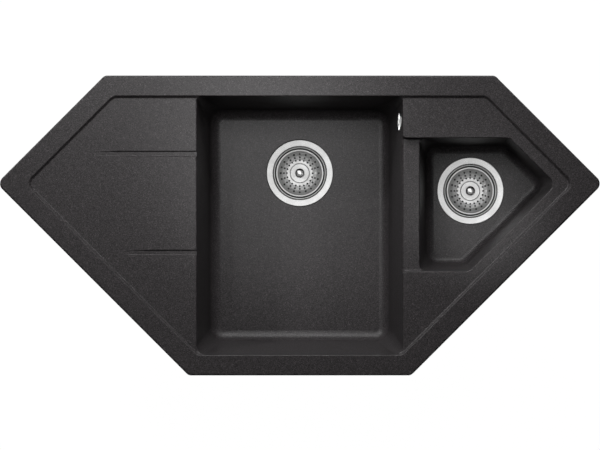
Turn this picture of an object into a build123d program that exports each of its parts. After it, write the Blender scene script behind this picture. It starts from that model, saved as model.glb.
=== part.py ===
from build123d import *
import math
import os

# Corner kitchen sink, one and a half bowls with a drainer.
# Frame: X to the right, Y to the back, Z up, all in millimetres.
# Origin: centre of the outline, at the level where the rim rests on the worktop.

# ---------------------------------------------------------------- driving dimensions
# outline: straight back and front edges, all slanted edges at 45 degrees
OUTLINE = [(-325.5, 250), (325.5, 250), (505.5, 70), (185.5, -250), (-185.5, -250), (-505.5, 70)]
OUTLINE_R = [11, 11, 13.28, 11, 11, 13.28]

RIM_TOP = 8.0            # rim surface above the worktop
DECK = 3.5               # recessed drainer and platforms
RIM_WIDTH = 34.0         # from the outer edge to the step
WALL = 8.0               # moulding thickness
EDGE_R = 3.0             # rounding of the outer top edge
STEP_R = 2.0             # roundings of the bowl edges and of the foot of the step
STEP_TOP_R = 1.5         # rounding of the step's top edge
STEP_RUN = 3.0           # the lower part of the step slopes out this far
STEP_RISE = 2.6          # over this height
SEAT_IN = 14.0           # the part below the rim starts this far in, and drops into the cut-out

MAIN_HALF_X = 172.0
MAIN_DEPTH = 190.0
MAIN_DRAFT = math.tan(math.radians(7))
SMALL = [(200, 146), (350, 146), (427.3, 68.7), (282.2, -76.4), (200, -76.4)]
SMALL_DEPTH = 135.0
SMALL_DRAFT = math.tan(math.radians(5.5))
BRIDGE_DROP = 12.0       # the wall between the bowls is this much lower than the deck
OVERCUT = 0.15           # the bowl walls stand this much behind the step walls above them

MAIN_FLOOR = DECK - MAIN_DEPTH
SMALL_FLOOR = DECK - SMALL_DEPTH
BRIDGE = DECK - BRIDGE_DROP

MAIN_DRAIN = (0.0, 88.0)
SMALL_DRAIN = (286.0, 58.0)
DRAIN_HOLE_R = 46.0      # 3 1/2 inch waste
LEDGE_R = 57.0
LEDGE_DEPTH = 3.0
BOSS_Z = -11.0           # underside of the thickened ring round each drain, from the bowl floor

GROOVES = [(119.7, -344.0), (-45.3, -290.0)]  # drainer channels: Y, left end
GROOVE_D = 2.1
GROOVE_FLAT = 3.2        # half the width of the channel's bottom
GROOVE_SLOPE = 1.85      # width of each slanted side
GROOVE_FADE = 45.0

OVERFLOW_Y = 173.0
OVERFLOW_Z = -30.0

# worktop clips: a point on the outline and the inward direction
Q = math.sqrt(0.5)
CLIP_IN = 24.0
CLIPS = [
    ((-240.0, 250.0), (0.0, -1.0)),
    ((250.0, 250.0), (0.0, -1.0)),
    ((415.5, 160.0), (-Q, -Q)),
    ((345.5, -90.0), (-Q, Q)),
    ((235.5, -200.0), (-Q, Q)),
    ((-255.5, -180.0), (Q, Q)),
    ((-425.5, -10.0), (Q, Q)),
    ((-405.5, 170.0), (Q, -Q)),
]

# 40 mm pipework
PIPE_R = 20.0
PIPE_BORE = 18.0
SOCKET_R = 20.5
THREAD_R = 24.0
NUT_BORE = 24.15


# ---------------------------------------------------------------- helpers
def inset(points, d):
    """Corners of a convex polygon with each side moved inwards by d, one value or one per side."""
    n = len(points)
    area = sum(
        points[i][0] * points[(i + 1) % n][1] - points[(i + 1) % n][0] * points[i][1] for i in range(n)
    )
    s = 1 if area > 0 else -1
    ds = d if isinstance(d, (list, tuple)) else [d] * n
    lines = []
    for i in range(n):
        (x1, y1), (x2, y2) = points[i], points[(i + 1) % n]
        length = math.hypot(x2 - x1, y2 - y1)
        ux, uy = (x2 - x1) / length, (y2 - y1) / length
        lines.append((x1 - uy * s * ds[i], y1 + ux * s * ds[i], ux, uy))
    corners = []
    for i in range(n):
        x1, y1, a1, b1 = lines[i - 1]
        x2, y2, a2, b2 = lines[i]
        t = ((x2 - x1) * (-b2) + a2 * (y2 - y1)) / (a2 * b1 - a1 * b2)
        corners.append((x1 + a1 * t, y1 + b1 * t))
    return corners


def main_corners(z, grow=0.0, grow_y=0.0):
    """The main bowl's sides at height z: its front and back walls continue the step of the rim."""
    x = MAIN_HALF_X - (DECK - z) * MAIN_DRAFT + grow
    y = 250 - RIM_WIDTH - (RIM_TOP - z) * MAIN_DRAFT + grow + grow_y
    return [(-x, -y), (x, -y), (x, y), (-x, y)]


def small_corners(z, grow=0.0):
    """The small bowl's sides at height z: its left wall starts at the lowered bridge."""
    s = (DECK - z) * SMALL_DRAFT - grow
    return inset(SMALL, [s, s, s, s, (BRIDGE - z) * SMALL_DRAFT - grow])


def small_radii(z, grow=0.0):
    k = (DECK - z) / SMALL_DEPTH
    return [8 + 14 * k + grow, 12 + 10 * k + grow, 15 + 7 * k + grow, 19 + 5 * k + grow, 8 + 14 * k + grow]


def upright(x, y, z=0.0):
    """The vertical plane through a point, for profiles that are turned about its vertical line."""
    return Plane(origin=(x, y, z), x_dir=(1, 0, 0), z_dir=(0, -1, 0))


def turned(points, plane, radii=0):
    """A solid turned from a closed profile of (radius, height) points, with rounded corners."""
    with BuildPart() as piece:
        with BuildSketch(plane):
            with BuildLine():
                FilletPolyline(*points, radius=radii, close=True)
            make_face()
        revolve(axis=Axis(plane.origin, plane.y_dir))
    return piece.part


def sheet_profile(points, radii, thick):
    """Closed profile of bent sheet: corners and radii of a line and of its copy moved thick to the left."""
    n = len(points)
    units = []
    for (x1, y1), (x2, y2) in zip(points, points[1:]):
        length = math.hypot(x2 - x1, y2 - y1)
        units.append(((x2 - x1) / length, (y2 - y1) / length))
    moved, moved_radii = [], []
    for i, (x, y) in enumerate(points):
        a = units[max(i - 1, 0)]
        b = units[min(i, n - 2)]
        mx, my = -(a[1] + b[1]), a[0] + b[0]
        k = thick * 2 / (mx * mx + my * my)
        moved.append((x + mx * k, y + my * k))
        if 0 < i < n - 1:
            left_turn = a[0] * b[1] - a[1] * b[0] > 0
            r = radii[i - 1]
            moved_radii.append(max(r - thick, 0) if left_turn else r + thick)
    return list(points) + moved[::-1], [0] + list(radii) + [0, 0] + moved_radii[::-1] + [0]


def flat_edges(part, z, places, reach=0.6, tol=0.05):
    """The level edges at height z whose middle is at one of the places."""
    found = []
    for e in part.edges():
        c = e.center()
        if abs(c.Z - z) < tol and e.bounding_box().size.Z < tol:
            if any(math.hypot(c.X - x, c.Y - y) < reach for x, y in places):
                found.append(e)
    return found


def save(part, name):
    part.label = name
    export_step(part, f"parts/{name}.step")


os.makedirs("parts", exist_ok=True)

# ---------------------------------------------------------------- sink body
# outer side of the small bowl
with BuildPart() as small_shell:
    for z in (0, SMALL_FLOOR - WALL):
        with BuildSketch(Plane.XY.offset(z)):
            with BuildLine():
                FilletPolyline(*small_corners(z, WALL), radius=small_radii(z, WALL), close=True)
            make_face()
    loft(ruled=True)
    fillet(small_shell.faces().sort_by(Axis.Z)[0].edges(), 22)

# the recessed area inside the rim
with BuildPart() as recess:
    knee = DECK + STEP_RISE
    for z1, z2, run in ((DECK, knee, STEP_RUN), (knee, RIM_TOP + 2, 0)):
        for z, r, extra in ((z1, 16 - run, run), (z2, 16, 0)):
            with BuildSketch(Plane.XY.offset(z)):
                with BuildLine():
                    FilletPolyline(
                        *inset(OUTLINE, RIM_WIDTH + (RIM_TOP - max(z, knee)) * MAIN_DRAFT + extra), radius=r, close=True
                    )
                make_face()
        loft(ruled=True)
    fillet(recess.faces().sort_by(Axis.Z)[0].edges(), STEP_R)

# inside of the main bowl
with BuildPart() as main_bowl:
    for z, r in ((RIM_TOP - 1.7, [16, 16, 8, 8]), (MAIN_FLOOR, [23] * 4)):
        with BuildSketch(Plane.XY.offset(z)):
            with BuildLine():
                FilletPolyline(*main_corners(z, grow_y=OVERCUT), radius=r, close=True)
            make_face()
    loft(ruled=True)
    fillet(main_bowl.faces().sort_by(Axis.Z)[0].edges(), 18)

# the opening of the small bowl above the bridge, which runs on into the main bowl
with BuildPart() as bridge_cut:
    for z in (BRIDGE, RIM_TOP):
        s = (DECK - z) * SMALL_DRAFT
        r = small_radii(z)
        with BuildSketch(Plane.XY.offset(z)):
            with BuildLine():
                FilletPolyline(
                    *inset([(140, 146)] + SMALL[1:4] + [(140, SMALL[3][1])], [s, s, s, s, 0]),
                    radius=[0, r[1], r[2], r[3], 0],
                    close=True,
                )
            make_face()
    loft(ruled=True)
    fillet(
        [e for e in bridge_cut.edges() if abs(e.center().Z - BRIDGE) < 0.01 and abs(e.center().X) > 150],
        STEP_R,
    )

# inside of the small bowl below the bridge
with BuildPart() as small_bowl:
    for z, grow in ((BRIDGE + 2.2, OVERCUT), (SMALL_FLOOR, 0)):
        with BuildSketch(Plane.XY.offset(z)):
            with BuildLine():
                FilletPolyline(*small_corners(z, grow), radius=small_radii(z), close=True)
            make_face()
    loft(ruled=True)
    fillet(small_bowl.faces().sort_by(Axis.Z)[0].edges(), 14)

# overflow axis: square to the drafted right wall of the main bowl, pointing away from the bowl
wall_x = MAIN_HALF_X - (DECK - OVERFLOW_Z) * MAIN_DRAFT
draft_a = math.atan(MAIN_DRAFT)
OUT_DIR = (math.cos(draft_a), 0, -math.sin(draft_a))
OVERFLOW_AT = (wall_x, OVERFLOW_Y, OVERFLOW_Z)
# local x = distance from the axis, local y = along the axis away from the bowl
OVERFLOW_PLANE = Plane(origin=OVERFLOW_AT, x_dir=(0, 1, 0), z_dir=(math.sin(draft_a), 0, math.cos(draft_a)))
if OVERFLOW_PLANE.y_dir.X < 0:
    OVERFLOW_PLANE = Plane(origin=OVERFLOW_AT, x_dir=(0, -1, 0), z_dir=(math.sin(draft_a), 0, math.cos(draft_a)))
OVERFLOW_ACROSS = Plane(origin=OVERFLOW_AT, x_dir=(0, 1, 0), z_dir=OUT_DIR)

with BuildPart() as sink_body:
    # rim slab with its rounded outer edge
    with BuildSketch(Plane.XY):
        with BuildLine():
            FilletPolyline(*OUTLINE, radius=OUTLINE_R, close=True)
        make_face()
    extrude(amount=RIM_TOP)
    fillet(sink_body.faces().sort_by(Axis.Z)[-1].edges(), EDGE_R)
    # plate under the recess
    with BuildSketch(Plane.XY.offset(DECK - WALL)):
        with BuildLine():
            FilletPolyline(*inset(OUTLINE, SEAT_IN), radius=8, close=True)
        make_face()
    extrude(amount=WALL)
    # outer side of the main bowl
    for z, r in ((0, 14), (MAIN_FLOOR - WALL, 30)):
        with BuildSketch(Plane.XY.offset(z)):
            with BuildLine():
                FilletPolyline(*main_corners(z, WALL), radius=r, close=True)
            make_face()
    loft(ruled=True)
    fillet(sink_body.faces().sort_by(Axis.Z)[0].edges(), 24)
    add(small_shell.part)
    # web under the bridge
    with BuildSketch(Plane.XY.offset(BRIDGE - WALL)):
        with Locations((187.5, 34)):
            Rectangle(45, 236)
    extrude(amount=2 * WALL)
    # recess and bowls
    add(recess.part, mode=Mode.SUBTRACT)
    rim = [
        f
        for f in sink_body.faces().filter_by(GeomType.PLANE)
        if abs(f.center().Z - RIM_TOP) < 1e-3 and f.normal_at().Z > 0.9
    ][0]
    fillet(rim.inner_wires()[0].edges(), STEP_TOP_R)
    add(bridge_cut.part, mode=Mode.SUBTRACT)
    add(main_bowl.part, mode=Mode.SUBTRACT)
    # upright corners at both ends of the bridge
    fillet(
        [
            e
            for e in sink_body.edges()
            if abs(e.center().X - 171.3) < 1.2
            and (abs(e.center().Y - 145.5) < 1 or abs(e.center().Y + 75.9) < 1)
            and e.bounding_box().size.Z > 8
        ],
        6,
    )
    add(small_bowl.part, mode=Mode.SUBTRACT)
    # rounded edges of both bowls at deck level, then of the small bowl at the bridge
    fillet(
        flat_edges(
            sink_body,
            DECK,
            [(172, 179.65), (261.5, 146), (385.1, 110.9), (352.2, -6.4), (226.4, -76.4), (172, -141), (-172, 3.95)],
        ),
        STEP_R,
    )
    fillet(flat_edges(sink_body, BRIDGE, [(199.9, 34)], 1.5), STEP_R)

# main bowl edge of the bridge, rounded along its straight length
bridge_x = MAIN_HALF_X - BRIDGE_DROP * MAIN_DRAFT
with BuildPart() as bridge_round:
    with BuildSketch(Plane(origin=(bridge_x, -68.0, BRIDGE), x_dir=(1, 0, 0), z_dir=(0, -1, 0))):
        with BuildLine():
            a = (STEP_R * 0.885, 0)
            b = (-STEP_R * 0.885 * math.sin(draft_a), -STEP_R * 0.885 * math.cos(draft_a))
            m = (STEP_R * 0.885 - STEP_R * math.sin(math.radians(41.5)), -STEP_R * (1 - math.cos(math.radians(41.5))))
            ThreePointArc(a, m, b)
            Polyline(b, (-1.5, -2.2), (-1.5, 1), (a[0], 1), a)
        make_face()
    extrude(amount=-205.6)

with BuildPart() as sink_cut:
    add(sink_body.part)
    add(bridge_round.part, mode=Mode.SUBTRACT)
    # thickened ring round each drain, ledge for the flange and the hole
    for (x, y), floor in ((MAIN_DRAIN, MAIN_FLOOR), (SMALL_DRAIN, SMALL_FLOOR)):
        with BuildSketch(Plane.XY.offset(floor + BOSS_Z)):
            with Locations((x, y)):
                Circle(64)
        extrude(amount=-BOSS_Z - 1, taper=8)
        with BuildSketch(Plane.XY.offset(floor - LEDGE_DEPTH)):
            with Locations((x, y)):
                Circle(LEDGE_R)
        extrude(amount=10, mode=Mode.SUBTRACT)
        with BuildSketch(Plane.XY.offset(floor + BOSS_Z - 1)):
            with Locations((x, y)):
                Circle(DRAIN_HOLE_R)
        extrude(amount=20, mode=Mode.SUBTRACT)
    # drainer channels with a flat bottom, which rise and fade out at their left ends
    over = GROOVE_FLAT + GROOVE_SLOPE * 3 / GROOVE_D
    for y, left in GROOVES:
        for x1, z1, x2, z2 in (
            (-160.0, 0.0, left + GROOVE_FADE, 0.0),
            (left + GROOVE_FADE, 0.0, left - 30.0, GROOVE_D * (GROOVE_FADE + 30) / GROOVE_FADE),
        ):
            for x, z in ((x1, z1), (x2, z2)):
                with BuildSketch(Plane(origin=(x, y, DECK - GROOVE_D + z), x_dir=(0, 1, 0), z_dir=(1, 0, 0))):
                    with BuildLine():
                        FilletPolyline(
                            (-over, 3), (-GROOVE_FLAT, 0), (GROOVE_FLAT, 0), (over, 3),
                            radius=[0, 0.9, 0.9, 0],
                            close=True,
                        )
                    make_face()
            loft(ruled=True, mode=Mode.SUBTRACT)
    # overflow hole through the right wall
    with BuildSketch(OVERFLOW_ACROSS.offset(-6)):
        Circle(11)
    extrude(amount=22, mode=Mode.SUBTRACT)
    # bosses for the worktop clips
    spots = [(p[0] + n[0] * CLIP_IN, p[1] + n[1] * CLIP_IN) for p, n in CLIPS]
    with BuildSketch(Plane.XY.offset(-13)):
        with Locations(*spots):
            Circle(9)
    extrude(amount=12, taper=-3)
    with BuildSketch(Plane.XY.offset(-13)):
        with Locations(*spots):
            Circle(4)
    extrude(amount=11, mode=Mode.SUBTRACT)
    # groove for the sealing tape under the rim
    with BuildSketch(Plane.XY):
        with BuildLine():
            FilletPolyline(*inset(OUTLINE, 3), radius=9, close=True)
        make_face()
        with BuildLine():
            FilletPolyline(*inset(OUTLINE, 10), radius=8, close=True)
        make_face(mode=Mode.SUBTRACT)
    extrude(amount=2, mode=Mode.SUBTRACT)
save(sink_cut.part, "sink_body")

# ---------------------------------------------------------------- sealing tape under the rim
with BuildPart() as rim_seal_tape:
    with BuildSketch(Plane.XY):
        with BuildLine():
            FilletPolyline(*inset(OUTLINE, 3.2), radius=8.8, close=True)
        make_face()
        with BuildLine():
            FilletPolyline(*inset(OUTLINE, 9.8), radius=8.2, close=True)
        make_face(mode=Mode.SUBTRACT)
    extrude(amount=2)
save(rim_seal_tape.part, "rim_seal_tape")

# ---------------------------------------------------------------- waste sets, one per bowl
# Heights are from the bowl floor.
PLATE_Z = -44.0
for bowl, (dx, dy), floor in (("main", MAIN_DRAIN, MAIN_FLOOR), ("small", SMALL_DRAIN, SMALL_FLOOR)):
    at = upright(dx, dy, floor)
    axis = Axis((dx, dy, floor), (0, 0, 1))

    # pressed steel flange and cup, 1.1 thick, with drain slots in its bottom
    with BuildPart() as strainer_flange:
        corners, radii = sheet_profile(
            [
                (56.0, -1.2), (55.3, 0.55), (44.6, 0.1), (43.9, -4.0), (43.7, -11.4), (42.0, -11.5),
                (40.5, -14.2), (39.6, -30.0), (24.8, PLATE_Z), (4.0, PLATE_Z),
            ],
            [0.5, 1.7, 1.8, 0.7, 0.6, 1.2, 6.0, 3.0],
            1.1,
        )
        with BuildSketch(at):
            with BuildLine():
                FilletPolyline(*corners, radius=radii, close=True)
            make_face()
        revolve(axis=axis)
        with BuildSketch(Plane.XY.offset(floor + PLATE_Z - 5)):
            with Locations((dx, dy)):
                with PolarLocations(0, 6):
                    SlotArc(CenterArc((0, 0), 15, 20, 20), 7)
        extrude(amount=10, mode=Mode.SUBTRACT)
        with BuildSketch(Plane.XY.offset(floor + PLATE_Z - 5)):
            with Locations((dx, dy)):
                Circle(5.3)
        extrude(amount=10, mode=Mode.SUBTRACT)
    save(strainer_flange.part, f"{bowl}_strainer_flange")

    # foam ring between flange and ledge
    save(
        turned([(47.0, -LEDGE_DEPTH), (54.0, -LEDGE_DEPTH), (53.4, -0.8), (48.4, -1.2)], at),
        f"{bowl}_flange_seal",
    )

    # rubber gasket between the bowl underside and the waste body
    save(
        turned([(47.5, BOSS_Z - 2.5), (57.0, BOSS_Z - 2.5), (57.0, BOSS_Z), (47.5, BOSS_Z)], at, [0.6, 0.6, 0, 0]),
        f"{bowl}_body_gasket",
    )

    # plastic waste body: flange, cup, hub on three ribs, threaded outlet socket
    top = BOSS_Z - 2.5
    with BuildPart() as waste_body:
        with BuildSketch(at):
            with BuildLine():
                FilletPolyline(
                    (46.6, top), (58.5, top), (58.5, top - 3.6), (50.4, top - 3.6), (48.6, -50.0),
                    (27.0, -65.0), (THREAD_R, -66.0), (THREAD_R, -84.0), (SOCKET_R, -84.0),
                    (SOCKET_R, -68.0), (PIPE_BORE, -68.0), (PIPE_BORE, -63.5), (44.6, -49.0),
                    radius=[0.8, 1.0, 1.0, 1.2, 6.0, 0.5, 0.5, 0.8, 0.5, 0, 0, 2.0, 5.0],
                    close=True,
                )
            make_face()
        revolve(axis=axis)
        # hub for the centre screw, and the three ribs that carry it
        with BuildSketch(Plane.XY.offset(floor - 62.0)):
            with Locations((dx, dy)):
                Circle(11)
        extrude(amount=12)
        with BuildSketch(Plane.XY.offset(floor - 62.0)):
            with Locations((dx, dy)):
                with PolarLocations(18.5, 3, start_angle=90):
                    Rectangle(25, 3.2)
        extrude(amount=7)
        # ribs under the flange
        with BuildSketch(Plane.XY.offset(floor + top - 18)):
            with Locations((dx, dy)):
                with PolarLocations(52.2, 12, start_angle=15):
                    Rectangle(7.0, 2.4)
        extrude(amount=15.5)
        with BuildSketch(Plane.XY.offset(floor - 62.5)):
            with Locations((dx, dy)):
                Circle(7.6)
        extrude(amount=13, mode=Mode.SUBTRACT)
        if bowl == "main":
            # overflow inlet, turned towards the hose
            inlet = Plane(
                origin=(dx, dy, floor - 33),
                x_dir=(0, 0, 1),
                z_dir=(0.9142, 0.4052, 0),
            )
            with BuildSketch(inlet.offset(47.6)):
                Circle(11)
            extrude(amount=6)
            with BuildSketch(inlet.offset(47.6)):
                Circle(8.8)
            extrude(amount=33)
            with BuildSketch(inlet.offset(40)):
                Circle(6.6)
            extrude(amount=45, mode=Mode.SUBTRACT)
    save(waste_body.part, f"{bowl}_waste_body")

    # brass insert in the hub
    with BuildPart() as screw_insert:
        with BuildSketch(Plane.XY.offset(floor - 61.5)):
            with Locations((dx, dy)):
                Circle(7.5)
                Circle(5.05, mode=Mode.SUBTRACT)
        extrude(amount=11)
    save(screw_insert.part, f"{bowl}_screw_insert")

    # centre screw with a hollow head that guides the plug stem
    save(
        turned(
            [
                (3.2, PLATE_Z + 4.5), (7.0, PLATE_Z + 4.5), (8.0, PLATE_Z + 3.5), (8.0, PLATE_Z),
                (5.0, PLATE_Z), (5.0, -61.0), (4.2, -62.0), (0.0, -62.0), (0.0, -56.5), (3.2, -55.0),
            ],
            at,
        ),
        f"{bowl}_centre_screw",
    )

    # perforated basket
    with BuildPart() as basket:
        corners, radii = sheet_profile(
            [
                (37.65, -9.6), (36.4, -18.5), (31.0, -29.35), (22.0, -32.05),
                (16.6, -32.05), (15.4, -33.45), (3.5, -33.45),
            ],
            [9, 7, 3, 0.8, 0.3],
            0.7,
        )
        with BuildSketch(at):
            with BuildLine():
                FilletPolyline(*corners, radius=radii, close=True)
            make_face()
            with Locations((38.4, -9.15)):
                RectangleRounded(2.8, 1.9, 0.55)
        revolve(axis=axis)
        for r in (32.0, 26.6, 21.7):
            with BuildSketch(Plane.XY.offset(floor - 40)):
                with Locations((dx, dy)):
                    with PolarLocations(r, 20, start_angle=90):
                        Circle(1.5)
            extrude(amount=25, mode=Mode.SUBTRACT)
    save(basket.part, f"{bowl}_basket")

    # nylon washer, rubber plug, stem and knob
    save(turned([(3.5, -35.6), (8.5, -35.6), (8.5, -34.25), (3.5, -34.25)], at, 0.2), f"{bowl}_basket_washer")
    save(
        turned(
            [
                (3.4, -38.0), (17.5, -38.0), (20.2, -40.4), (20.6, -43.7), (23.6, -43.7),
                (23.4, -37.6), (20.5, -35.6), (3.4, -35.6),
            ],
            at,
            [0, 1.2, 0.8, 0.5, 0.8, 1.4, 0.8, 0],
        ),
        f"{bowl}_plug_seal",
    )
    save(
        turned(
            [
                (0, -52.0), (2.3, -52.0), (3.1, -51.2), (3.1, -38.0), (3.4, -38.0), (3.4, -33.35),
                (6.0, -33.35), (6.0, -31.6), (3.0, -30.8), (3.0, -9.0), (0, -9.0),
            ],
            at,
        ),
        f"{bowl}_plug_stem",
    )
    # mushroom knob with a domed top
    with BuildPart() as knob:
        with BuildSketch(at):
            with BuildLine():
                FilletPolyline(
                    (0, -15.5), (4.4, -15.5), (4.4, -14.2), (3.7, -9.6), (7.9, -4.8), (7.9, 2.4), (0, 2.4),
                    radius=[0, 0.3, 0.3, 2.5, 1.0, 0, 0],
                    close=True,
                )
            make_face()
        revolve(axis=axis)
        with Locations((dx, dy, floor + 2.4 - 15)):
            Sphere(15, mode=Mode.INTERSECT)
        fillet([e for e in knob.edges() if abs(e.center().Z - floor - 0.15) < 0.1 and e.length > 40], 1.6)
        with BuildSketch(Plane.XY.offset(floor - 16)):
            with Locations((dx, dy)):
                Circle(3.0)
        extrude(amount=7, mode=Mode.SUBTRACT)
    save(knob.part, f"{bowl}_knob")

# ---------------------------------------------------------------- overflow
# round cover: outer ring, three spokes and a hub, seen edge-on from above
with BuildPart() as overflow_cover:
    with BuildSketch(OVERFLOW_PLANE):
        with BuildLine():
            FilletPolyline(
                (9.7, -0.4), (15.9, -0.05), (15.9, -1.0), (14.6, -2.1), (9.7, -2.45),
                radius=[0.2, 0.2, 0.6, 1.5, 0.5],
                close=True,
            )
        make_face()
    revolve(axis=Axis(OVERFLOW_AT, OUT_DIR))
    with BuildSketch(OVERFLOW_ACROSS.offset(-2.0)):
        Circle(6.4)
        with PolarLocations(8, 3, start_angle=90):
            Rectangle(5, 2.2)
    extrude(amount=1.4)
    with BuildSketch(OVERFLOW_ACROSS.offset(-3)):
        Circle(2.6)
    extrude(amount=4, mode=Mode.SUBTRACT)
save(overflow_cover.part, "overflow_cover")

# countersunk-style screw that pulls cover and elbow together
with BuildPart() as overflow_screw:
    with BuildSketch(OVERFLOW_PLANE):
        with BuildLine():
            FilletPolyline(
                (0, -3.6), (4.2, -3.3), (5.4, -2.0), (2.4, -2.0), (2.4, 19.5), (0, 19.5),
                radius=[0, 1.0, 0.3, 0, 0, 0],
                close=True,
            )
        make_face()
    revolve(axis=Axis(OVERFLOW_AT, OUT_DIR))
    with BuildSketch(OVERFLOW_ACROSS.offset(-4)):
        Rectangle(6.5, 1.1)
    extrude(amount=1.3, mode=Mode.SUBTRACT)
save(overflow_screw.part, "overflow_screw")

wall_out = WALL * math.cos(draft_a)
with BuildPart() as overflow_gasket:
    with BuildSketch(OVERFLOW_ACROSS.offset(wall_out)):
        Circle(15.5)
        Circle(11.2, mode=Mode.SUBTRACT)
    extrude(amount=2.5)
save(overflow_gasket.part, "overflow_gasket")

# plastic elbow behind the wall, with its spigot pointing straight down
ELBOW_X = wall_x + 24.0
with BuildPart() as overflow_elbow:
    with BuildSketch(OVERFLOW_ACROSS.offset(wall_out + 2.5)):
        Circle(16)
    extrude(amount=3)
    with BuildSketch(OVERFLOW_ACROSS.offset(wall_out + 2.5)):
        Circle(13)
    extrude(amount=22.5)
    fillet(overflow_elbow.faces().sort_by(Axis(OVERFLOW_AT, OUT_DIR))[-1].edges(), 3)
    with BuildSketch(Plane.XY.offset(-72)):
        with Locations((ELBOW_X, OVERFLOW_Y)):
            Circle(9)
    extrude(amount=38)
    with BuildSketch(Plane.XY.offset(-50)):
        with Locations((ELBOW_X, OVERFLOW_Y)):
            Circle(11)
    extrude(amount=14)
    # waterway
    with BuildSketch(OVERFLOW_ACROSS.offset(wall_out + 1)):
        Circle(10.8)
    extrude(amount=21.5, mode=Mode.SUBTRACT)
    with BuildSketch(Plane.XY.offset(-75)):
        with Locations((ELBOW_X, OVERFLOW_Y)):
            Circle(6.8)
    extrude(amount=42, mode=Mode.SUBTRACT)
    # central boss for the screw, on two ribs
    with BuildSketch(OVERFLOW_ACROSS.offset(wall_out + 2.7)):
        Circle(4.2)
        Rectangle(2.2, 23)
    extrude(amount=19)
    with BuildSketch(OVERFLOW_ACROSS.offset(0)):
        Circle(2.45)
    extrude(amount=20, mode=Mode.SUBTRACT)
save(overflow_elbow.part, "overflow_elbow")

# hose from the elbow to the waste body, pushed over both spigots
INLET = (MAIN_DRAIN[0] + 0.9142 * 81, MAIN_DRAIN[1] + 0.4052 * 81, MAIN_FLOOR - 33)
hose_points = [
    (ELBOW_X, OVERFLOW_Y, -53.0),
    (ELBOW_X, OVERFLOW_Y, -160.0),
    (MAIN_DRAIN[0] + 0.9142 * 166, MAIN_DRAIN[1] + 0.4052 * 166, MAIN_FLOOR - 33),
    (MAIN_DRAIN[0] + 0.9142 * 62, MAIN_DRAIN[1] + 0.4052 * 62, MAIN_FLOOR - 33),
]
hose_radii = []
for i in (1, 2):
    p, q, r = (Vector(*hose_points[j]) for j in (i - 1, i, i + 1))
    turn = (q - p).get_angle(r - q)
    hose_radii.append(0.45 * min((q - p).length, (r - q).length) / math.tan(math.radians(turn / 2)))
print("hose radii", [round(r, 1) for r in hose_radii])
with BuildLine() as hose_path:
    FilletPolyline(*hose_points, radius=hose_radii)
with BuildPart() as overflow_hose:
    with BuildSketch(Plane(origin=hose_points[0], z_dir=(0, 0, -1))):
        Circle(11.2)
        Circle(9.1, mode=Mode.SUBTRACT)
    sweep(path=hose_path.wires()[0])
print("hose length", round(hose_path.wires()[0].length, 1))
save(overflow_hose.part, "overflow_hose")

with BuildPart() as hose_clips:
    with BuildSketch(Plane.XY.offset(-68)):
        with Locations((ELBOW_X, OVERFLOW_Y)):
            Circle(12.4)
            Circle(11.3, mode=Mode.SUBTRACT)
            with Locations((13.6, 0)):
                Rectangle(4.2, 5.0)
    extrude(amount=8)
    with BuildSketch(Plane(origin=(MAIN_DRAIN[0], MAIN_DRAIN[1], MAIN_FLOOR - 33), x_dir=(0, 0, 1), z_dir=(0.9142, 0.4052, 0)).offset(67)):
        Circle(12.4)
        Circle(11.3, mode=Mode.SUBTRACT)
        with Locations((-13.6, 0)):
            Rectangle(4.2, 5.0)
    extrude(amount=8)
save(hose_clips.part, "hose_clips")

# ---------------------------------------------------------------- pipework to one outlet
run = Vector(MAIN_DRAIN[0] - SMALL_DRAIN[0], MAIN_DRAIN[1] - SMALL_DRAIN[1], -10.0)
run_len = run.length
run_dir = run.normalized()
CORNER = Vector(SMALL_DRAIN[0], SMALL_DRAIN[1], MAIN_FLOOR - 108.0)
TEE = CORNER + run


def along(distance):
    """The plane across the cross pipe at a distance from the elbow's corner."""
    return Plane(origin=CORNER + run_dir * distance, x_dir=(0, 0, 1), z_dir=run_dir)


# elbow under the small bowl
elbow_top = SMALL_FLOOR - 69.0
with BuildLine() as elbow_path:
    FilletPolyline((SMALL_DRAIN[0], SMALL_DRAIN[1], elbow_top), CORNER, CORNER + run_dir * 44, radius=[32])
with BuildPart() as small_outlet_elbow:
    with BuildSketch(Plane(origin=(SMALL_DRAIN[0], SMALL_DRAIN[1], elbow_top), z_dir=(0, 0, -1))):
        Circle(PIPE_R)
    sweep(path=elbow_path.wires()[0])
    with BuildSketch(along(42)):
        Circle(THREAD_R)
    extrude(amount=24)
    with BuildSketch(along(38)):
        Circle(22)
    extrude(amount=5)
    with BuildSketch(Plane(origin=(SMALL_DRAIN[0], SMALL_DRAIN[1], elbow_top), z_dir=(0, 0, -1))):
        Circle(PIPE_BORE)
    sweep(path=elbow_path.wires()[0], mode=Mode.SUBTRACT)
    with BuildSketch(along(46)):
        Circle(SOCKET_R)
    extrude(amount=30, mode=Mode.SUBTRACT)
save(small_outlet_elbow.part, "small_outlet_elbow")

# straight cross pipe
cross_from, cross_to = 47.0, run_len - 39.0
with BuildPart() as cross_pipe:
    with BuildSketch(along(cross_from)):
        Circle(PIPE_R)
        Circle(PIPE_BORE, mode=Mode.SUBTRACT)
    extrude(amount=cross_to - cross_from)
save(cross_pipe.part, "cross_pipe")

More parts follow.
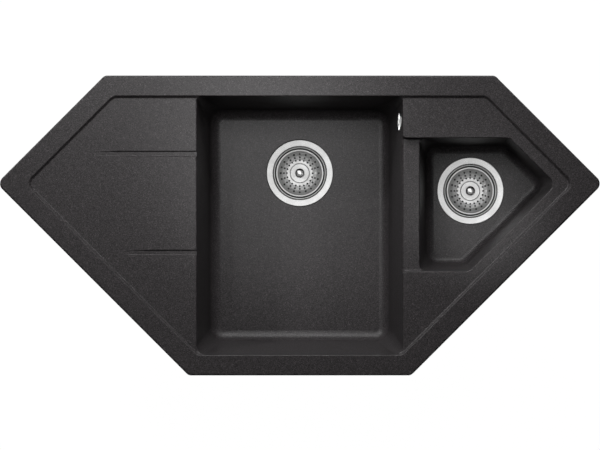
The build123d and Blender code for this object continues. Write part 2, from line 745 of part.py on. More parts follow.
# tee under the main bowl: plain pipe up into the waste body, threaded side branch, plain outlet below
tee_top = MAIN_FLOOR - 69.0
tee_bottom = MAIN_FLOOR - 182.0
with BuildPart() as outlet_tee:
    with BuildSketch(Plane.XY.offset(tee_bottom)):
        with Locations(MAIN_DRAIN):
            Circle(PIPE_R)
    extrude(amount=tee_top - tee_bottom)
    with BuildSketch(Plane.XY.offset(TEE.Z - 24)):
        with Locations(MAIN_DRAIN):
            Circle(23)
    extrude(amount=48)
    with BuildSketch(Plane(origin=TEE, x_dir=(0, 0, 1), z_dir=-run_dir)):
        Circle(22)
    extrude(amount=38)
    with BuildSketch(Plane(origin=TEE, x_dir=(0, 0, 1), z_dir=-run_dir).offset(36)):
        Circle(THREAD_R)
    extrude(amount=24)
    with BuildSketch(Plane.XY.offset(tee_bottom - 1)):
        with Locations(MAIN_DRAIN):
            Circle(PIPE_BORE)
    extrude(amount=tee_top - tee_bottom + 2, mode=Mode.SUBTRACT)
    with BuildSketch(Plane(origin=TEE, x_dir=(0, 0, 1), z_dir=-run_dir)):
        Circle(PIPE_BORE)
    extrude(amount=60.5, mode=Mode.SUBTRACT)
    with BuildSketch(Plane(origin=TEE, x_dir=(0, 0, 1), z_dir=-run_dir).offset(38.0)):
        Circle(SOCKET_R)
    extrude(amount=30, mode=Mode.SUBTRACT)
save(outlet_tee.part, "outlet_tee")

# union nuts and cone washers: at each socket, seen from its open end
joints = [
    Plane(origin=(MAIN_DRAIN[0], MAIN_DRAIN[1], MAIN_FLOOR - 84), z_dir=(0, 0, -1)),
    Plane(origin=(SMALL_DRAIN[0], SMALL_DRAIN[1], SMALL_FLOOR - 84), z_dir=(0, 0, -1)),
    along(66),
    Plane(origin=TEE - run_dir * 60, z_dir=-run_dir),
]
with BuildPart() as union_nuts:
    for j in joints:
        # body of the nut over the thread, then its lip behind the washer
        with BuildSketch(j.offset(-15)):
            Circle(29)
            Circle(NUT_BORE, mode=Mode.SUBTRACT)
        extrude(amount=15)
        with BuildSketch(j.offset(0)):
            Circle(29)
            Circle(NUT_BORE, mode=Mode.SUBTRACT)
        extrude(amount=5)
        with BuildSketch(j.offset(5)):
            Circle(29)
            Circle(20.6, mode=Mode.SUBTRACT)
        extrude(amount=2.5)
        # grip ribs
        with BuildSketch(j.offset(-13)):
            with PolarLocations(29.2, 12):
                Rectangle(4.4, 5.0)
        extrude(amount=18.5)
save(union_nuts.part, "union_nuts")

with BuildPart() as cone_washers:
    for j in joints:
        with BuildSketch(j.offset(0.2)):
            Circle(23.8)
            Circle(20.05, mode=Mode.SUBTRACT)
        extrude(amount=4.6)
save(cone_washers.part, "cone_washers")

# ---------------------------------------------------------------- worktop clips
with BuildPart() as clip_inserts:
    with BuildSketch(Plane.XY.offset(-13)):
        with Locations(*spots):
            Circle(3.95)
    extrude(amount=10.9)
    with BuildSketch(Plane.XY.offset(-13)):
        with Locations(*spots):
            Circle(2.5)
    extrude(amount=10.9, mode=Mode.SUBTRACT)
save(clip_inserts.part, "clip_inserts")

with BuildPart() as clip_screws:
    with BuildSketch(Plane.XY.offset(-57)):
        with Locations(*spots):
            Circle(2.45)
    extrude(amount=54)
    with BuildSketch(Plane.XY.offset(-61)):
        with Locations(*spots):
            Circle(5)
    extrude(amount=4)
    with BuildSketch(Plane.XY.offset(-61)):
        with Locations(*spots):
            Rectangle(7, 1.2)
            Rectangle(1.2, 7)
    extrude(amount=2, mode=Mode.SUBTRACT)
save(clip_screws.part, "clip_screws")

# claws: a flat eye round the screw, an arm outwards and an upright toothed end
for i, ((px, py), (nx, ny)) in enumerate(CLIPS, 1):
    sx, sy = px + nx * CLIP_IN, py + ny * CLIP_IN
    flat = Plane(origin=(sx, sy, -56.9), x_dir=(-nx, -ny, 0), z_dir=(0, 0, 1))
    side = Plane(origin=(sx, sy, -56.9), x_dir=(-nx, -ny, 0), z_dir=(-ny, nx, 0))
    if side.y_dir.Z < 0:
        side = Plane(origin=(sx, sy, -56.9), x_dir=(-nx, -ny, 0), z_dir=(ny, -nx, 0))
    with BuildPart() as clip_claw:
        # bent strip, 2.4 thick
        corners, radii = sheet_profile([(-7, 0), (12, 0), (22, 11.5), (22, 26.6)], [4, 7], 2.4)
        with BuildSketch(side):
            with BuildLine():
                FilletPolyline(*corners, radius=radii, close=True)
            make_face()
        extrude(amount=7, both=True)
        # eye end rounded, and tapered arm
        with BuildSketch(flat.offset(-1)):
            Circle(7)
            with BuildLine():
                Polyline((0, 7), (26, 7), (26, -7), (0, -7), close=True)
            make_face()
        extrude(amount=30, mode=Mode.INTERSECT)
        with BuildSketch(flat.offset(-2)):
            Circle(2.55)
        extrude(amount=6, mode=Mode.SUBTRACT)
        # three teeth in the upper edge
        with BuildSketch(Plane(origin=(sx, sy, 0), x_dir=(ny, -nx, 0), z_dir=(-nx, -ny, 0)).offset(16)):
            with Locations(*[(k * 4.0, -30.3) for k in (-1, 0, 1)]):
                Rectangle(2.2, 2.2, rotation=45)
        extrude(amount=8, mode=Mode.SUBTRACT)
    save(clip_claw.part, f"clip_claw_{i}")
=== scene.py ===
import math

import bmesh
import bpy
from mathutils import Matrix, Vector


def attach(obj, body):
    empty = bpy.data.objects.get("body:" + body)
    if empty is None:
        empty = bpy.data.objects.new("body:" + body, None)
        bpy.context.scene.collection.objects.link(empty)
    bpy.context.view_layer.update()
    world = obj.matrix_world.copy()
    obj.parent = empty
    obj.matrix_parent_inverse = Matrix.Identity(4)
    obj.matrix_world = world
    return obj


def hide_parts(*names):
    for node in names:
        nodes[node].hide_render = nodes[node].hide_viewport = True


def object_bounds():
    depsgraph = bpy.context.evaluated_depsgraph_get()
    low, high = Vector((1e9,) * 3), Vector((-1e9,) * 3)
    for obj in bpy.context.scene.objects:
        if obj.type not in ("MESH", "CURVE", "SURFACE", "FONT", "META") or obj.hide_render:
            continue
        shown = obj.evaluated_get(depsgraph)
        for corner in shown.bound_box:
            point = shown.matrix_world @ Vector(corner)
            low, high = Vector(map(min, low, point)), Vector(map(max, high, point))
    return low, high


# Corner kitchen sink in dark granite composite. Metres, in the row's frame: X right, Y to the back, Z up.

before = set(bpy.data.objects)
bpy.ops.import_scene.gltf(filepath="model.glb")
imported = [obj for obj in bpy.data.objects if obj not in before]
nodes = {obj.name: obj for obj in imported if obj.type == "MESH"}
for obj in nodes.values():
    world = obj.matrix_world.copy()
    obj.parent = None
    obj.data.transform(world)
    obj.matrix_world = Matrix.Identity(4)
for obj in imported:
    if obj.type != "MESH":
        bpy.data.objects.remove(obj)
cad_lo, cad_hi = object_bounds()
scene = bpy.context.scene

MAIN = (0.0, 0.088, -0.1865)     # drain centres at floor level
SMALL = (0.286, 0.058, -0.1315)


# ---------------------------------------------------------------- shader helpers
class Tree:
    """A material's node tree, with short calls to add nodes."""

    def __init__(self, name):
        self.mat = bpy.data.materials.new(name)
        self.mat.use_nodes = True
        self.nt = self.mat.node_tree
        self.nt.nodes.clear()
        self.out = self.nt.nodes.new("ShaderNodeOutputMaterial")
        self.bsdf = self.nt.nodes.new("ShaderNodeBsdfPrincipled")
        self.link(self.bsdf.outputs[0], self.out.inputs["Surface"])
        self.coord = self.nt.nodes.new("ShaderNodeTexCoord").outputs["Object"]

    def link(self, a, b):
        self.nt.links.new(a, b)

    def put(self, value, socket):
        if hasattr(value, "links"):
            self.link(value, socket)
        else:
            socket.default_value = value

    def scaled(self, sx, sy=None, sz=None, at=(0, 0, 0)):
        """Object coordinates in metres, minus a point, times a factor per axis."""
        n = self.nt.nodes.new("ShaderNodeMapping")
        n.vector_type = "POINT"
        sy = sx if sy is None else sy
        sz = sx if sz is None else sz
        n.inputs["Scale"].default_value = (sx, sy, sz)
        n.inputs["Location"].default_value = (-at[0] * sx, -at[1] * sy, -at[2] * sz)
        self.link(self.coord, n.inputs["Vector"])
        return n.outputs[0]

    def noise(self, vector, scale=1.0, detail=2.0, rough=0.5, distortion=0.0, out="Fac"):
        n = self.nt.nodes.new("ShaderNodeTexNoise")
        self.link(vector, n.inputs["Vector"])
        n.inputs["Scale"].default_value = scale
        n.inputs["Detail"].default_value = detail
        n.inputs["Roughness"].default_value = rough
        n.inputs["Distortion"].default_value = distortion
        return n.outputs[out]

    def noise_1d(self, w, detail=2.0, rough=0.6):
        n = self.nt.nodes.new("ShaderNodeTexNoise")
        n.noise_dimensions = "1D"
        self.link(w, n.inputs["W"])
        n.inputs["Scale"].default_value = 1.0
        n.inputs["Detail"].default_value = detail
        n.inputs["Roughness"].default_value = rough
        return n.outputs["Fac"]

    def cells(self, vector, scale=1.0, out="Color", feature="F1", randomness=1.0):
        n = self.nt.nodes.new("ShaderNodeTexVoronoi")
        n.feature = feature
        self.link(vector, n.inputs["Vector"])
        n.inputs["Scale"].default_value = scale
        n.inputs["Randomness"].default_value = randomness
        if out == "Color":
            s = self.nt.nodes.new("ShaderNodeSeparateColor")
            self.link(n.outputs["Color"], s.inputs[0])
            return s.outputs[0]
        return n.outputs[out]

    def ramp(self, value, *stops, smooth=False):
        n = self.nt.nodes.new("ShaderNodeValToRGB")
        if smooth:
            n.color_ramp.interpolation = "EASE"
        els = n.color_ramp.elements
        while len(els) < len(stops):
            els.new(0.5)
        for e, (pos, c) in zip(els, stops):
            e.position = pos
            e.color = (c, c, c, 1) if isinstance(c, (int, float)) else (*c, 1)
        self.link(value, n.inputs[0])
        return n.outputs[0]

    def math(self, op, a, b=0.0, c=None):
        n = self.nt.nodes.new("ShaderNodeMath")
        n.operation = op
        self.put(a, n.inputs[0])
        self.put(b, n.inputs[1])
        if c is not None:
            self.put(c, n.inputs[2])
        return n.outputs[0]

    def mix(self, fac, a, b, mode="MIX"):
        n = self.nt.nodes.new("ShaderNodeMix")
        n.data_type = "RGBA"
        n.blend_type = mode
        n.clamp_result = False
        self.put(fac, n.inputs["Factor"])
        for v, s in ((a, n.inputs[6]), (b, n.inputs[7])):
            if hasattr(v, "links"):
                self.link(v, s)
            else:
                s.default_value = (v, v, v, 1) if isinstance(v, (int, float)) else (*v, 1)
        return n.outputs[2]

    def span(self, value, lo, hi, from_lo=0.0, from_hi=1.0):
        n = self.nt.nodes.new("ShaderNodeMapRange")
        n.clamp = True
        self.link(value, n.inputs["Value"])
        n.inputs["From Min"].default_value = from_lo
        n.inputs["From Max"].default_value = from_hi
        n.inputs["To Min"].default_value = lo
        n.inputs["To Max"].default_value = hi
        return n.outputs["Result"]

    def bump(self, height, distance, strength=1.0, below=None):
        n = self.nt.nodes.new("ShaderNodeBump")
        n.inputs["Distance"].default_value = distance
        n.inputs["Strength"].default_value = strength
        self.link(height, n.inputs["Height"])
        if below is not None:
            self.link(below, n.inputs["Normal"])
        return n.outputs[0]

    def radius(self, at):
        """Distance from the upright line through a point, in millimetres."""
        n = self.nt.nodes.new("ShaderNodeVectorMath")
        n.operation = "LENGTH"
        self.link(self.scaled(1000, 1000, 0, at), n.inputs[0])
        return n.outputs["Value"]

    def axis(self, i, factor):
        s = self.nt.nodes.new("ShaderNodeSeparateXYZ")
        self.link(self.coord, s.inputs[0])
        return self.math("MULTIPLY", s.outputs[i], factor)

    def surface(self, **values):
        for key, v in values.items():
            s = self.bsdf.inputs[key.replace("_", " ")]
            if hasattr(v, "links"):
                self.link(v, s)
            elif isinstance(v, tuple):
                s.default_value = (*v, 1)
            else:
                s.default_value = v
        return self.mat


def paint(material, *names):
    for name in names:
        o = nodes[name] if isinstance(name, str) else name
        o.data.materials.clear()
        o.data.materials.append(material)


# ---------------------------------------------------------------- materials
def composite():
    """Granite composite: quartz grains of about a millimetre in dark resin, matt and finely pitted."""
    t = Tree("granite_composite")
    mm = t.scaled(1000)
    coarse = t.ramp(t.cells(mm, 0.95), (0.0, 0.45), (0.2, 0.78), (0.5, 0.97), (0.8, 1.16), (0.94, 1.50), (1.0, 2.20))
    fine = t.ramp(t.cells(mm, 1.5), (0.0, 0.36), (0.25, 0.80), (0.75, 1.12), (1.0, 2.10))
    cloud = t.span(t.noise(mm, 0.012, 3.0), 0.97, 1.03, 0.3, 0.7)
    grain = t.mix(1.0, coarse, fine, "MULTIPLY")
    grain = t.mix(1.0, grain, cloud, "MULTIPLY")
    colour = t.mix(1.0, grain, (0.0428, 0.0386, 0.0402), "MULTIPLY")
    pits = t.noise(mm, 0.9, 3.0, 0.6)
    bump = t.bump(pits, 0.00016, 0.55)
    bump = t.bump(t.cells(mm, 0.8, "Distance"), 0.00010, 0.35, bump)
    rough = t.span(t.noise(mm, 0.5, 2.0), 0.38, 0.47, 0.3, 0.7)
    return t.surface(Base_Color=colour, Roughness=rough, Normal=bump, Specular_IOR_Level=0.4)


def turned_steel(name, at, tone=0.62, rough=(0.24, 0.34), rings=2.2, depth=0.00001, satin=0.0, painted_cup_shade=0.0):
    """Stainless steel with fine rings from polishing on a lathe round the upright line through a point.

    satin is the share of light it scatters evenly; the last argument is the tone the colour is darkened to down in the
    cup: painted shade."""
    t = Tree(name)
    r = t.radius(at)
    scratch = t.noise_1d(t.math("MULTIPLY", r, rings), 3.0, 0.7)
    wide = t.noise_1d(t.math("MULTIPLY", r, 0.35), 1.0)
    mm = t.scaled(1000)
    smear = t.noise(mm, 0.06, 3.0, 0.6)
    colour = t.mix(t.span(wide, 0.0, 1.0, 0.3, 0.7), (tone * 0.95,) * 3, (tone * 1.04, tone * 1.04, tone * 1.03))
    colour = t.mix(t.span(smear, 0.0, 0.35, 0.35, 0.75), colour, (tone * 0.9, tone * 0.9, tone * 0.89))
    # painted shade: the colour darkens down in the cup, 10 to 16 mm below the bowl floor
    if painted_cup_shade:
        colour = t.mix(1.0, colour, t.span(t.axis(2, 1.0), painted_cup_shade, 1.0, at[2] - 0.016, at[2] - 0.010), "MULTIPLY")
    rgh = t.math("ADD", t.span(scratch, rough[0], rough[1], 0.25, 0.75), t.span(smear, -0.03, 0.04, 0.3, 0.7))
    return t.surface(Base_Color=colour, Metallic=1.0 - satin, Roughness=rgh, Normal=t.bump(scratch, depth, 0.6))


def zinc():
    """Zinc-plated sheet: slightly blotchy, faintly yellow-blue."""
    t = Tree("zinc_plate")
    mm = t.scaled(1000)
    blotch = t.noise(mm, 0.25, 3.0, 0.65, 0.4)
    colour = t.mix(t.span(blotch, 0, 1, 0.35, 0.65), (0.47, 0.48, 0.49), (0.62, 0.62, 0.59))
    spangle = t.cells(mm, 0.45)
    colour = t.mix(t.span(spangle, 0.0, 0.22), colour, (0.36, 0.38, 0.41))
    drawn = t.noise(t.scaled(300, 300, 6000), 1.0, 2.0)
    rough = t.math("ADD", t.span(blotch, 0.30, 0.48, 0.3, 0.7), t.span(drawn, -0.04, 0.05, 0.3, 0.7))
    return t.surface(Base_Color=colour, Metallic=1.0, Roughness=rough, Normal=t.bump(drawn, 0.00002, 0.5))


def brass():
    t = Tree("brass_turned")
    mm = t.scaled(1000)
    turn = t.noise(t.scaled(200, 200, 5000), 1.0, 2.0)
    dull = t.noise(mm, 0.4, 3.0)
    colour = t.mix(t.span(dull, 0, 0.5, 0.35, 0.7), (0.74, 0.54, 0.24), (0.50, 0.34, 0.14))
    return t.surface(Base_Color=colour, Metallic=1.0, Roughness=t.span(dull, 0.26, 0.45, 0.3, 0.7),
                     Normal=t.bump(turn, 0.00003, 0.6))


def moulded(name, rgb, rough=0.42, grain=1.3, depth=0.00003, tint=0.06, sheen=0.0):
    """Injection moulded plastic or rubber: faint flow marks, fine surface texture and a little grime."""
    t = Tree(name)
    mm = t.scaled(1000)
    flow = t.noise(mm, 0.035, 3.0, 0.55, 1.5)
    fine = t.noise(mm, grain, 2.0)
    dust = t.noise(mm, 0.18, 4.0, 0.7)
    low = tuple(c * (1 - 2 * tint) for c in rgb)
    high = tuple(min(1.0, c * (1 + tint)) for c in rgb)
    colour = t.mix(t.span(flow, 0, 1, 0.3, 0.7), low, high)
    colour = t.mix(t.span(dust, 0.0, 0.5, 0.5, 0.8), colour, tuple(c * 0.86 for c in rgb))
    rgh = t.math("ADD", t.span(fine, rough - 0.06, rough + 0.06, 0.3, 0.7), t.span(dust, -0.02, 0.1, 0.4, 0.8))
    mat = t.surface(Base_Color=colour, Roughness=rgh, Normal=t.bump(fine, depth, 0.5), Specular_IOR_Level=0.45)
    if sheen:
        t.bsdf.inputs["Sheen Weight"].default_value = sheen
    return mat


def foam():
    t = Tree("foam_tape")
    mm = t.scaled(1000)
    pores = t.cells(mm, 1.6, "Distance")
    colour = t.mix(t.span(pores, 0, 1, 0.1, 0.5), (0.10, 0.10, 0.105), (0.30, 0.30, 0.31))
    colour = t.mix(t.span(t.noise(mm, 0.1, 2.0), 0, 0.4, 0.4, 0.7), colour, (0.34, 0.34, 0.34))
    return t.surface(Base_Color=colour, Roughness=0.9, Normal=t.bump(pores, 0.0003, 0.8))


granite = composite()
# the strainer steel of both drains carries painted shade down in the cup
steel_main = turned_steel("turned_steel_main", MAIN, painted_cup_shade=0.25)
steel_small = turned_steel("turned_steel_small", SMALL, painted_cup_shade=0.25)
basket_main = turned_steel("basket_steel_main", MAIN, 0.86, (0.36, 0.48), 1.6, satin=0.45)
basket_small = turned_steel("basket_steel_small", SMALL, 0.86, (0.36, 0.48), 1.6, satin=0.45)
knob_main = turned_steel("polished_steel_main", MAIN, 0.74, (0.16, 0.24), 3.0, 0.000004)
knob_small = turned_steel("polished_steel_small", SMALL, 0.74, (0.16, 0.24), 3.0, 0.000004)
cover_steel = turned_steel("cover_steel", (0.165, 0.173, -0.03), 0.72, (0.26, 0.36), 0.4)
zinc_plate = zinc()
brass_turned = brass()
white_pp = moulded("white_polypropylene", (0.74, 0.74, 0.72), 0.38)
nut_pp = moulded("grey_polypropylene", (0.16, 0.165, 0.175), 0.40)
hose_pp = moulded("grey_hose_plastic", (0.55, 0.56, 0.56), 0.45)
nylon = moulded("nylon", (0.68, 0.67, 0.60), 0.35, 2.0)
rubber = moulded("black_rubber", (0.018, 0.018, 0.019), 0.62, 1.8, 0.00005, 0.12, 0.15)
foam_tape = foam()

STEEL = [f"{bowl}_{part}" for bowl in ("main", "small")
         for part in ("strainer_flange", "centre_screw", "plug_stem", "basket", "knob")] + ["overflow_cover", "overflow_screw"]
paint(granite, "sink_body")
paint(foam_tape, "rim_seal_tape", "main_flange_seal", "small_flange_seal")
paint(steel_main, "main_strainer_flange", "main_centre_screw", "main_plug_stem")
paint(steel_small, "small_strainer_flange", "small_centre_screw", "small_plug_stem")
paint(basket_main, "main_basket")
paint(basket_small, "small_basket")
paint(knob_main, "main_knob")
paint(knob_small, "small_knob")
paint(cover_steel, "overflow_cover", "overflow_screw", "hose_clips")
paint(rubber, "main_plug_seal", "small_plug_seal", "main_body_gasket", "small_body_gasket", "overflow_gasket")
paint(white_pp, "main_waste_body", "small_waste_body", "overflow_elbow", "small_outlet_elbow", "cross_pipe", "outlet_tee")
paint(nut_pp, "union_nuts")
paint(nylon, "main_basket_washer", "small_basket_washer", "cone_washers")
paint(brass_turned, "main_screw_insert", "small_screw_insert", "clip_inserts")
paint(zinc_plate, "clip_screws", *[f"clip_claw_{i}" for i in range(1, 9)])


# ---------------------------------------------------------------- mesh helpers
def mesh_object(name, verts, faces, material, smooth=True):
    me = bpy.data.meshes.new(name)
    me.from_pydata(verts, [], faces)
    me.validate()
    me.update()
    if smooth:
        me.polygons.foreach_set("use_smooth", [True] * len(me.polygons))
    o = bpy.data.objects.new(name, me)
    scene.collection.objects.link(o)
    o.data.materials.append(material)
    return o


def spline_path(points, resolution=48):
    """Points read from the smooth spline that has the given points as its control points."""
    cu = bpy.data.curves.new("route", "CURVE")
    cu.dimensions = "3D"
    s = cu.splines.new("NURBS")
    s.points.add(len(points) - 1)
    for p, q in zip(s.points, points):
        p.co = (*q, 1.0)
    s.order_u = 3
    s.use_endpoint_u = True
    s.resolution_u = resolution
    o = bpy.data.objects.new("route", cu)
    scene.collection.objects.link(o)
    me = bpy.data.meshes.new_from_object(o)
    path = [v.co.copy() for v in me.vertices]
    bpy.data.objects.remove(o)
    bpy.data.curves.remove(cu)
    bpy.data.meshes.remove(me)
    return path


def evenly(path, step):
    """The path again, with a point every step of its length, and the length."""
    lengths = [0.0]
    for a, b in zip(path, path[1:]):
        lengths.append(lengths[-1] + (b - a).length)
    total = lengths[-1]
    n = max(2, round(total / step))
    out, j = [], 0
    for i in range(n + 1):
        d = total * i / n
        while j < len(path) - 2 and lengths[j + 1] < d:
            j += 1
        span = lengths[j + 1] - lengths[j] or 1.0
        out.append(path[j].lerp(path[j + 1], (d - lengths[j]) / span))
    return out, total


def sweep(name, path, profile, material, sides=40):
    """A round tube along a path, its radius given at each point, without twist."""
    verts, faces = [], []
    up = Vector((1, 0, 0))
    n = len(path)
    for i, p in enumerate(path):
        t = (path[min(i + 1, n - 1)] - path[max(i - 1, 0)]).normalized()
        up = (up - t * up.dot(t)).normalized()
        side = t.cross(up)
        for k in range(sides):
            a = 2 * math.pi * k / sides
            verts.append(p + (up * math.cos(a) + side * math.sin(a)) * profile[i])
    for i in range(n - 1):
        for k in range(sides):
            a, b = i * sides + k, i * sides + (k + 1) % sides
            faces.append((a, b, b + sides, a + sides))
    return mesh_object(name, verts, faces, material)


# ---------------------------------------------------------------- corrugated overflow hose
hose_route = [(0.19189, 0.173, -0.053), (0.19189, 0.173, -0.160), (0.15176, 0.15526, -0.2195), (0.05668, 0.11312, -0.2195)]
hose_line, hose_length = evenly(spline_path([Vector(p) for p in hose_route]), 0.0005)
radii = []
for i in range(len(hose_line)):
    s = hose_length * i / (len(hose_line) - 1)
    edge = min(s, hose_length - s)
    plain = 0.0104                       # smooth cuffs at both ends
    wave = 0.00985 + 0.0012 * (0.5 + 0.5 * math.cos(2 * math.pi * s / 0.0042)) ** 0.6
    blend = min(1.0, max(0.0, (edge - 0.023) / 0.003))
    radii.append(plain * (1 - blend) + wave * blend)
hose = sweep("corrugated_overflow_hose", hose_line, radii, hose_pp)
solid = hose.modifiers.new("wall", "SOLIDIFY")
solid.thickness = 0.0009
solid.offset = -1
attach(hose, "sink")
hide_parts("overflow_hose")


# ---------------------------------------------------------------- threaded clip screws
def threaded_rod(name, x, y, z0, z1, r, pitch, depth, material, sides=28):
    """A rod with a helical V thread: rings of points whose radius follows the helix."""
    verts, faces = [], []
    step = pitch / 8
    rows = int((z1 - z0) / step) + 1
    for i in range(rows):
        z = z0 + (z1 - z0) * i / (rows - 1)
        end = min(1.0, (z1 - z) / 0.0012, (z - z0) / 0.0006 + 0.3)
        for k in range(sides):
            a = 2 * math.pi * k / sides
            phase = (z / pitch - k / sides) % 1.0
            tooth = 1 - abs(2 * phase - 1)
            rr = r - depth + depth * min(1.0, tooth * 1.15) * max(0.0, end) - 0.0006 * (1 - max(0.0, end))
            verts.append((x + rr * math.cos(a), y + rr * math.sin(a), z))
    for i in range(rows - 1):
        for k in range(sides):
            a, b = i * sides + k, i * sides + (k + 1) % sides
            faces.append((a, b, b + sides, a + sides))
    faces.append(tuple(range(sides))[::-1])
    faces.append(tuple(range((rows - 1) * sides, rows * sides)))
    return verts, faces


def pozi_head(x, y, z, r, height):
    """A pan head pointing down, with a cross recess: rings from the rim to the recess."""
    verts, faces = [], []
    sides = 48
    rings = [(r * 0.96, 0.0), (r, -0.0005), (r, -0.0012), (r * 0.93, -height * 0.62), (r * 0.74, -height * 0.88), (r * 0.5, -height)]
    for rr, dz in rings:
        for k in range(sides):
            a = 2 * math.pi * k / sides
            verts.append((x + rr * math.cos(a), y + rr * math.sin(a), z + dz))
    # recess: a four-armed star that narrows upwards
    for depth, scale in ((0.0, 1.0), (0.0006, 0.94), (0.0022, 0.55)):
        for k in range(sides):
            a = 2 * math.pi * k / sides
            arm = max(0.0, math.cos(4 * a)) ** 1.5
            rr = r * (0.2 + 0.26 * arm) * scale
            verts.append((x + rr * math.cos(a), y + rr * math.sin(a), z - height + depth))
    n = len(rings) + 3
    for i in range(n - 1):
        for k in range(sides):
            a, b = i * sides + k, i * sides + (k + 1) % sides
            faces.append((a, a + sides, b + sides, b))
    faces.append(tuple(range(sides)))
    faces.append(tuple(range((n - 1) * sides, n * sides))[::-1])
    return verts, faces


Q = math.sqrt(0.5)
SPOTS = [
    (-0.240, 0.226), (0.250, 0.226), (0.4155 - 0.024 * Q, 0.160 - 0.024 * Q), (0.3455 - 0.024 * Q, -0.090 + 0.024 * Q),
    (0.2355 - 0.024 * Q, -0.200 + 0.024 * Q), (-0.2555 + 0.024 * Q, -0.180 + 0.024 * Q),
    (-0.4255 + 0.024 * Q, -0.010 + 0.024 * Q), (-0.4055 + 0.024 * Q, 0.170 - 0.024 * Q),
]
verts, faces = [], []
for x, y in SPOTS:
    for v, f in (
        threaded_rod("rod", x, y, -0.0572, -0.0031, 0.00245, 0.0008, 0.00038, zinc_plate),
        pozi_head(x, y, -0.057, 0.005, 0.004),
    ):
        base = len(verts)
        verts += v
        faces += [tuple(base + i for i in q) for q in f]
screws = mesh_object("threaded_clip_screws", verts, faces, zinc_plate)
screws.data.set_sharp_from_angle(angle=math.radians(38))
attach(screws, "sink")
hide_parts("clip_screws")


# ---------------------------------------------------------------- stage: floor, world, lights, camera
def emissive(name, strength, diffuse):
    m = bpy.data.materials.new(name)
    m.use_nodes = True
    nt = m.node_tree
    nt.nodes.clear()
    out = nt.nodes.new("ShaderNodeOutputMaterial")
    add = nt.nodes.new("ShaderNodeAddShader")
    e = nt.nodes.new("ShaderNodeEmission")
    e.inputs["Strength"].default_value = strength
    d = nt.nodes.new("ShaderNodeBsdfDiffuse")
    d.inputs["Color"].default_value = (diffuse, diffuse, diffuse, 1)
    clear = nt.nodes.new("ShaderNodeBsdfTransparent")
    mix = nt.nodes.new("ShaderNodeMixShader")
    geo = nt.nodes.new("ShaderNodeNewGeometry")
    nt.links.new(e.outputs[0], add.inputs[0])
    nt.links.new(d.outputs[0], add.inputs[1])
    nt.links.new(geo.outputs["Backfacing"], mix.inputs[0])
    nt.links.new(add.outputs[0], mix.inputs[1])
    nt.links.new(clear.outputs[0], mix.inputs[2])
    nt.links.new(mix.outputs[0], out.inputs["Surface"])
    return m


floor_z = cad_lo[2] - 0.002
bm = bmesh.new()
bmesh.ops.create_grid(bm, x_segments=8, y_segments=8, size=40.0)
me = bpy.data.meshes.new("studio_floor")
bm.to_mesh(me)
bm.free()
floor = bpy.data.objects.new("studio_floor", me)
scene.collection.objects.link(floor)
floor.location = (0, 0, floor_z)
me.materials.append(emissive("pale_floor", 1.0, 0.03))
floor.visible_diffuse = False
floor.visible_glossy = False
floor.visible_shadow = False

world = bpy.data.worlds.new("studio")
scene.world = world
world.use_nodes = True
bg = world.node_tree.nodes["Background"]
bg.inputs[0].default_value = (1, 1, 1, 1)
bg.inputs[1].default_value = 1.0
world.cycles_visibility.diffuse = False
world.cycles_visibility.glossy = False
world.cycles_visibility.transmission = False
world.cycles_visibility.scatter = False


def area(name, at, towards, size, watts, size_y=None, spread=180.0, camera=False):
    light = bpy.data.lights.new(name, "AREA")
    light.energy = watts
    light.shape = "RECTANGLE" if size_y else "SQUARE"
    light.size = size
    if size_y:
        light.size_y = size_y
    light.spread = math.radians(spread)
    o = bpy.data.objects.new(name, light)
    scene.collection.objects.link(o)
    o.location = at
    o.rotation_mode = "QUATERNION"
    o.rotation_quaternion = (Vector(towards) - Vector(at)).to_track_quat("-Z", "Y")
    o.visible_camera = camera
    return o


def spot(name, at, towards, radius, watts, degrees, blend):
    light = bpy.data.lights.new(name, "SPOT")
    light.energy = watts
    light.spot_size = math.radians(degrees)
    light.spot_blend = blend
    light.shadow_soft_size = radius
    o = bpy.data.objects.new(name, light)
    scene.collection.objects.link(o)
    o.location = at
    o.rotation_mode = "QUATERNION"
    o.rotation_quaternion = (Vector(towards) - Vector(at)).to_track_quat("-Z", "Y")
    o.visible_camera = False
    return o


# light groups: the steel mirrors wide soft panels, everything else is lit by small ones
metal = bpy.data.collections.new("metal")
others = bpy.data.collections.new("others")
for o in [x for x in scene.collection.objects if x.type == "MESH"] + list(nodes.values()):
    group = metal if o.name in STEEL else others
    if o.name not in group.objects:
        group.objects.link(o)


def only(light, group):
    light.light_linking.receiver_collection = group
    return light


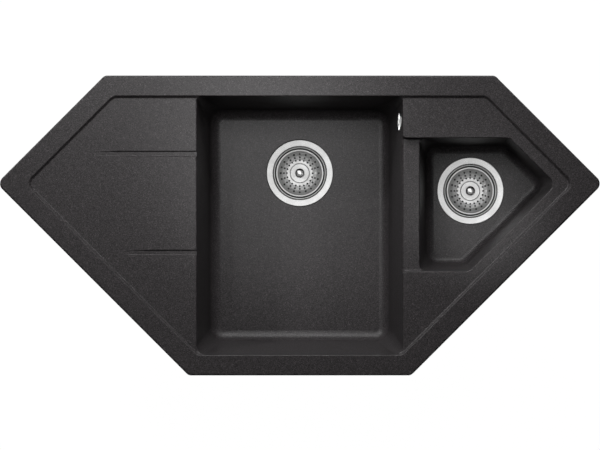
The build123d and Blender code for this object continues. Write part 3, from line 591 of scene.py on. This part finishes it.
only(area("key", (-0.10, 0.45, 0.90), (0, 0, 0), 0.25, 2.3), others)
only(area("key_left", (-0.30, 0.45, 0.90), (0, 0, 0), 0.25, 1.3), others)
only(area("back", (0.0, 2.13, 1.49), (0, 0, 0), 0.45, 21.0), others)
only(area("back_left", (-1.3, 1.5, 1.5), (0, 0, 0), 0.2, 13.0), others)
only(area("back_right", (1.3, 1.5, 1.5), (0, 0, 0), 0.2, 6.0), others)
only(spot("main_bowl_back", (-0.1, 0.42, 2.6), (-0.03, 0.10, -0.19), 0.10, 44.0, 10.0, 0.9), others)
only(spot("main_bowl_left", (-0.9, 0.5, 2.4), (0.03, 0.0, -0.15), 0.10, 46.4, 9.0, 0.9), others)
only(spot("small_bowl_light", (0.295, 0.03, 2.6), (0.295, 0.025, -0.13), 0.06, 54.0, 5.5, 0.9), others)
only(area("panel", (-0.3, 0.77, 2.4), (0, 0, 0), 1.9, 16.0, 2.3), metal)
only(area("wide_panel", (0.0, 0.0, 3.0), (0, 0, 0), 6.0, 30.0), metal)
only(area("drain_lamp_main", (0.06, 0.028, 0.1635), (0.0, 0.088, -0.1865), 0.12, 0.035), metal)
only(area("drain_lamp_small", (0.346, -0.002, 0.2185), (0.286, 0.058, -0.1315), 0.12, 0.035), metal)
only(area("cover_lamp", (0.13, 0.173, -0.12), (0.166, 0.173, -0.03), 0.03, 0.012), metal)
only(spot("plug_lamp_main", (0.0, 0.088, 1.2), MAIN, 0.012, 5.0, 2.2, 0.7), metal)
only(spot("plug_lamp_small", (0.286, 0.058, 1.25), SMALL, 0.012, 5.0, 2.2, 0.7), metal)
# from below, for views of the sides and the underside
for name, at, watts in (("under_front", (0.6, -1.3, -1.1), 15.0), ("under_left", (-1.4, 0.5, -0.9), 12.0), ("under_back", (0.7, 1.4, -1.2), 10.0)):
    area(name, at, (0, 0, -0.1), 0.9, watts)
scene.view_settings.view_transform = "Standard"
scene.view_settings.look = "None"
scene.view_settings.exposure = 0.0
scene.view_settings.gamma = 1.0

# camera: straight down, far away; 600 pixels span 1000.3 mm at the rim
distance = 25.0
cam = bpy.data.cameras.new("camera")
cam.sensor_width = 36.0
cam.lens = 36.0 * distance / 1.0003
cam.clip_start, cam.clip_end = 1.0, 60.0
cam_object = bpy.data.objects.new("camera", cam)
scene.collection.objects.link(cam_object)
cam_object.location = (0.00033, 0.00083, 0.006 + distance)
cam_object.rotation_euler = (0, 0, 0)
scene.camera = cam_object

bpy.context.view_layer.update()
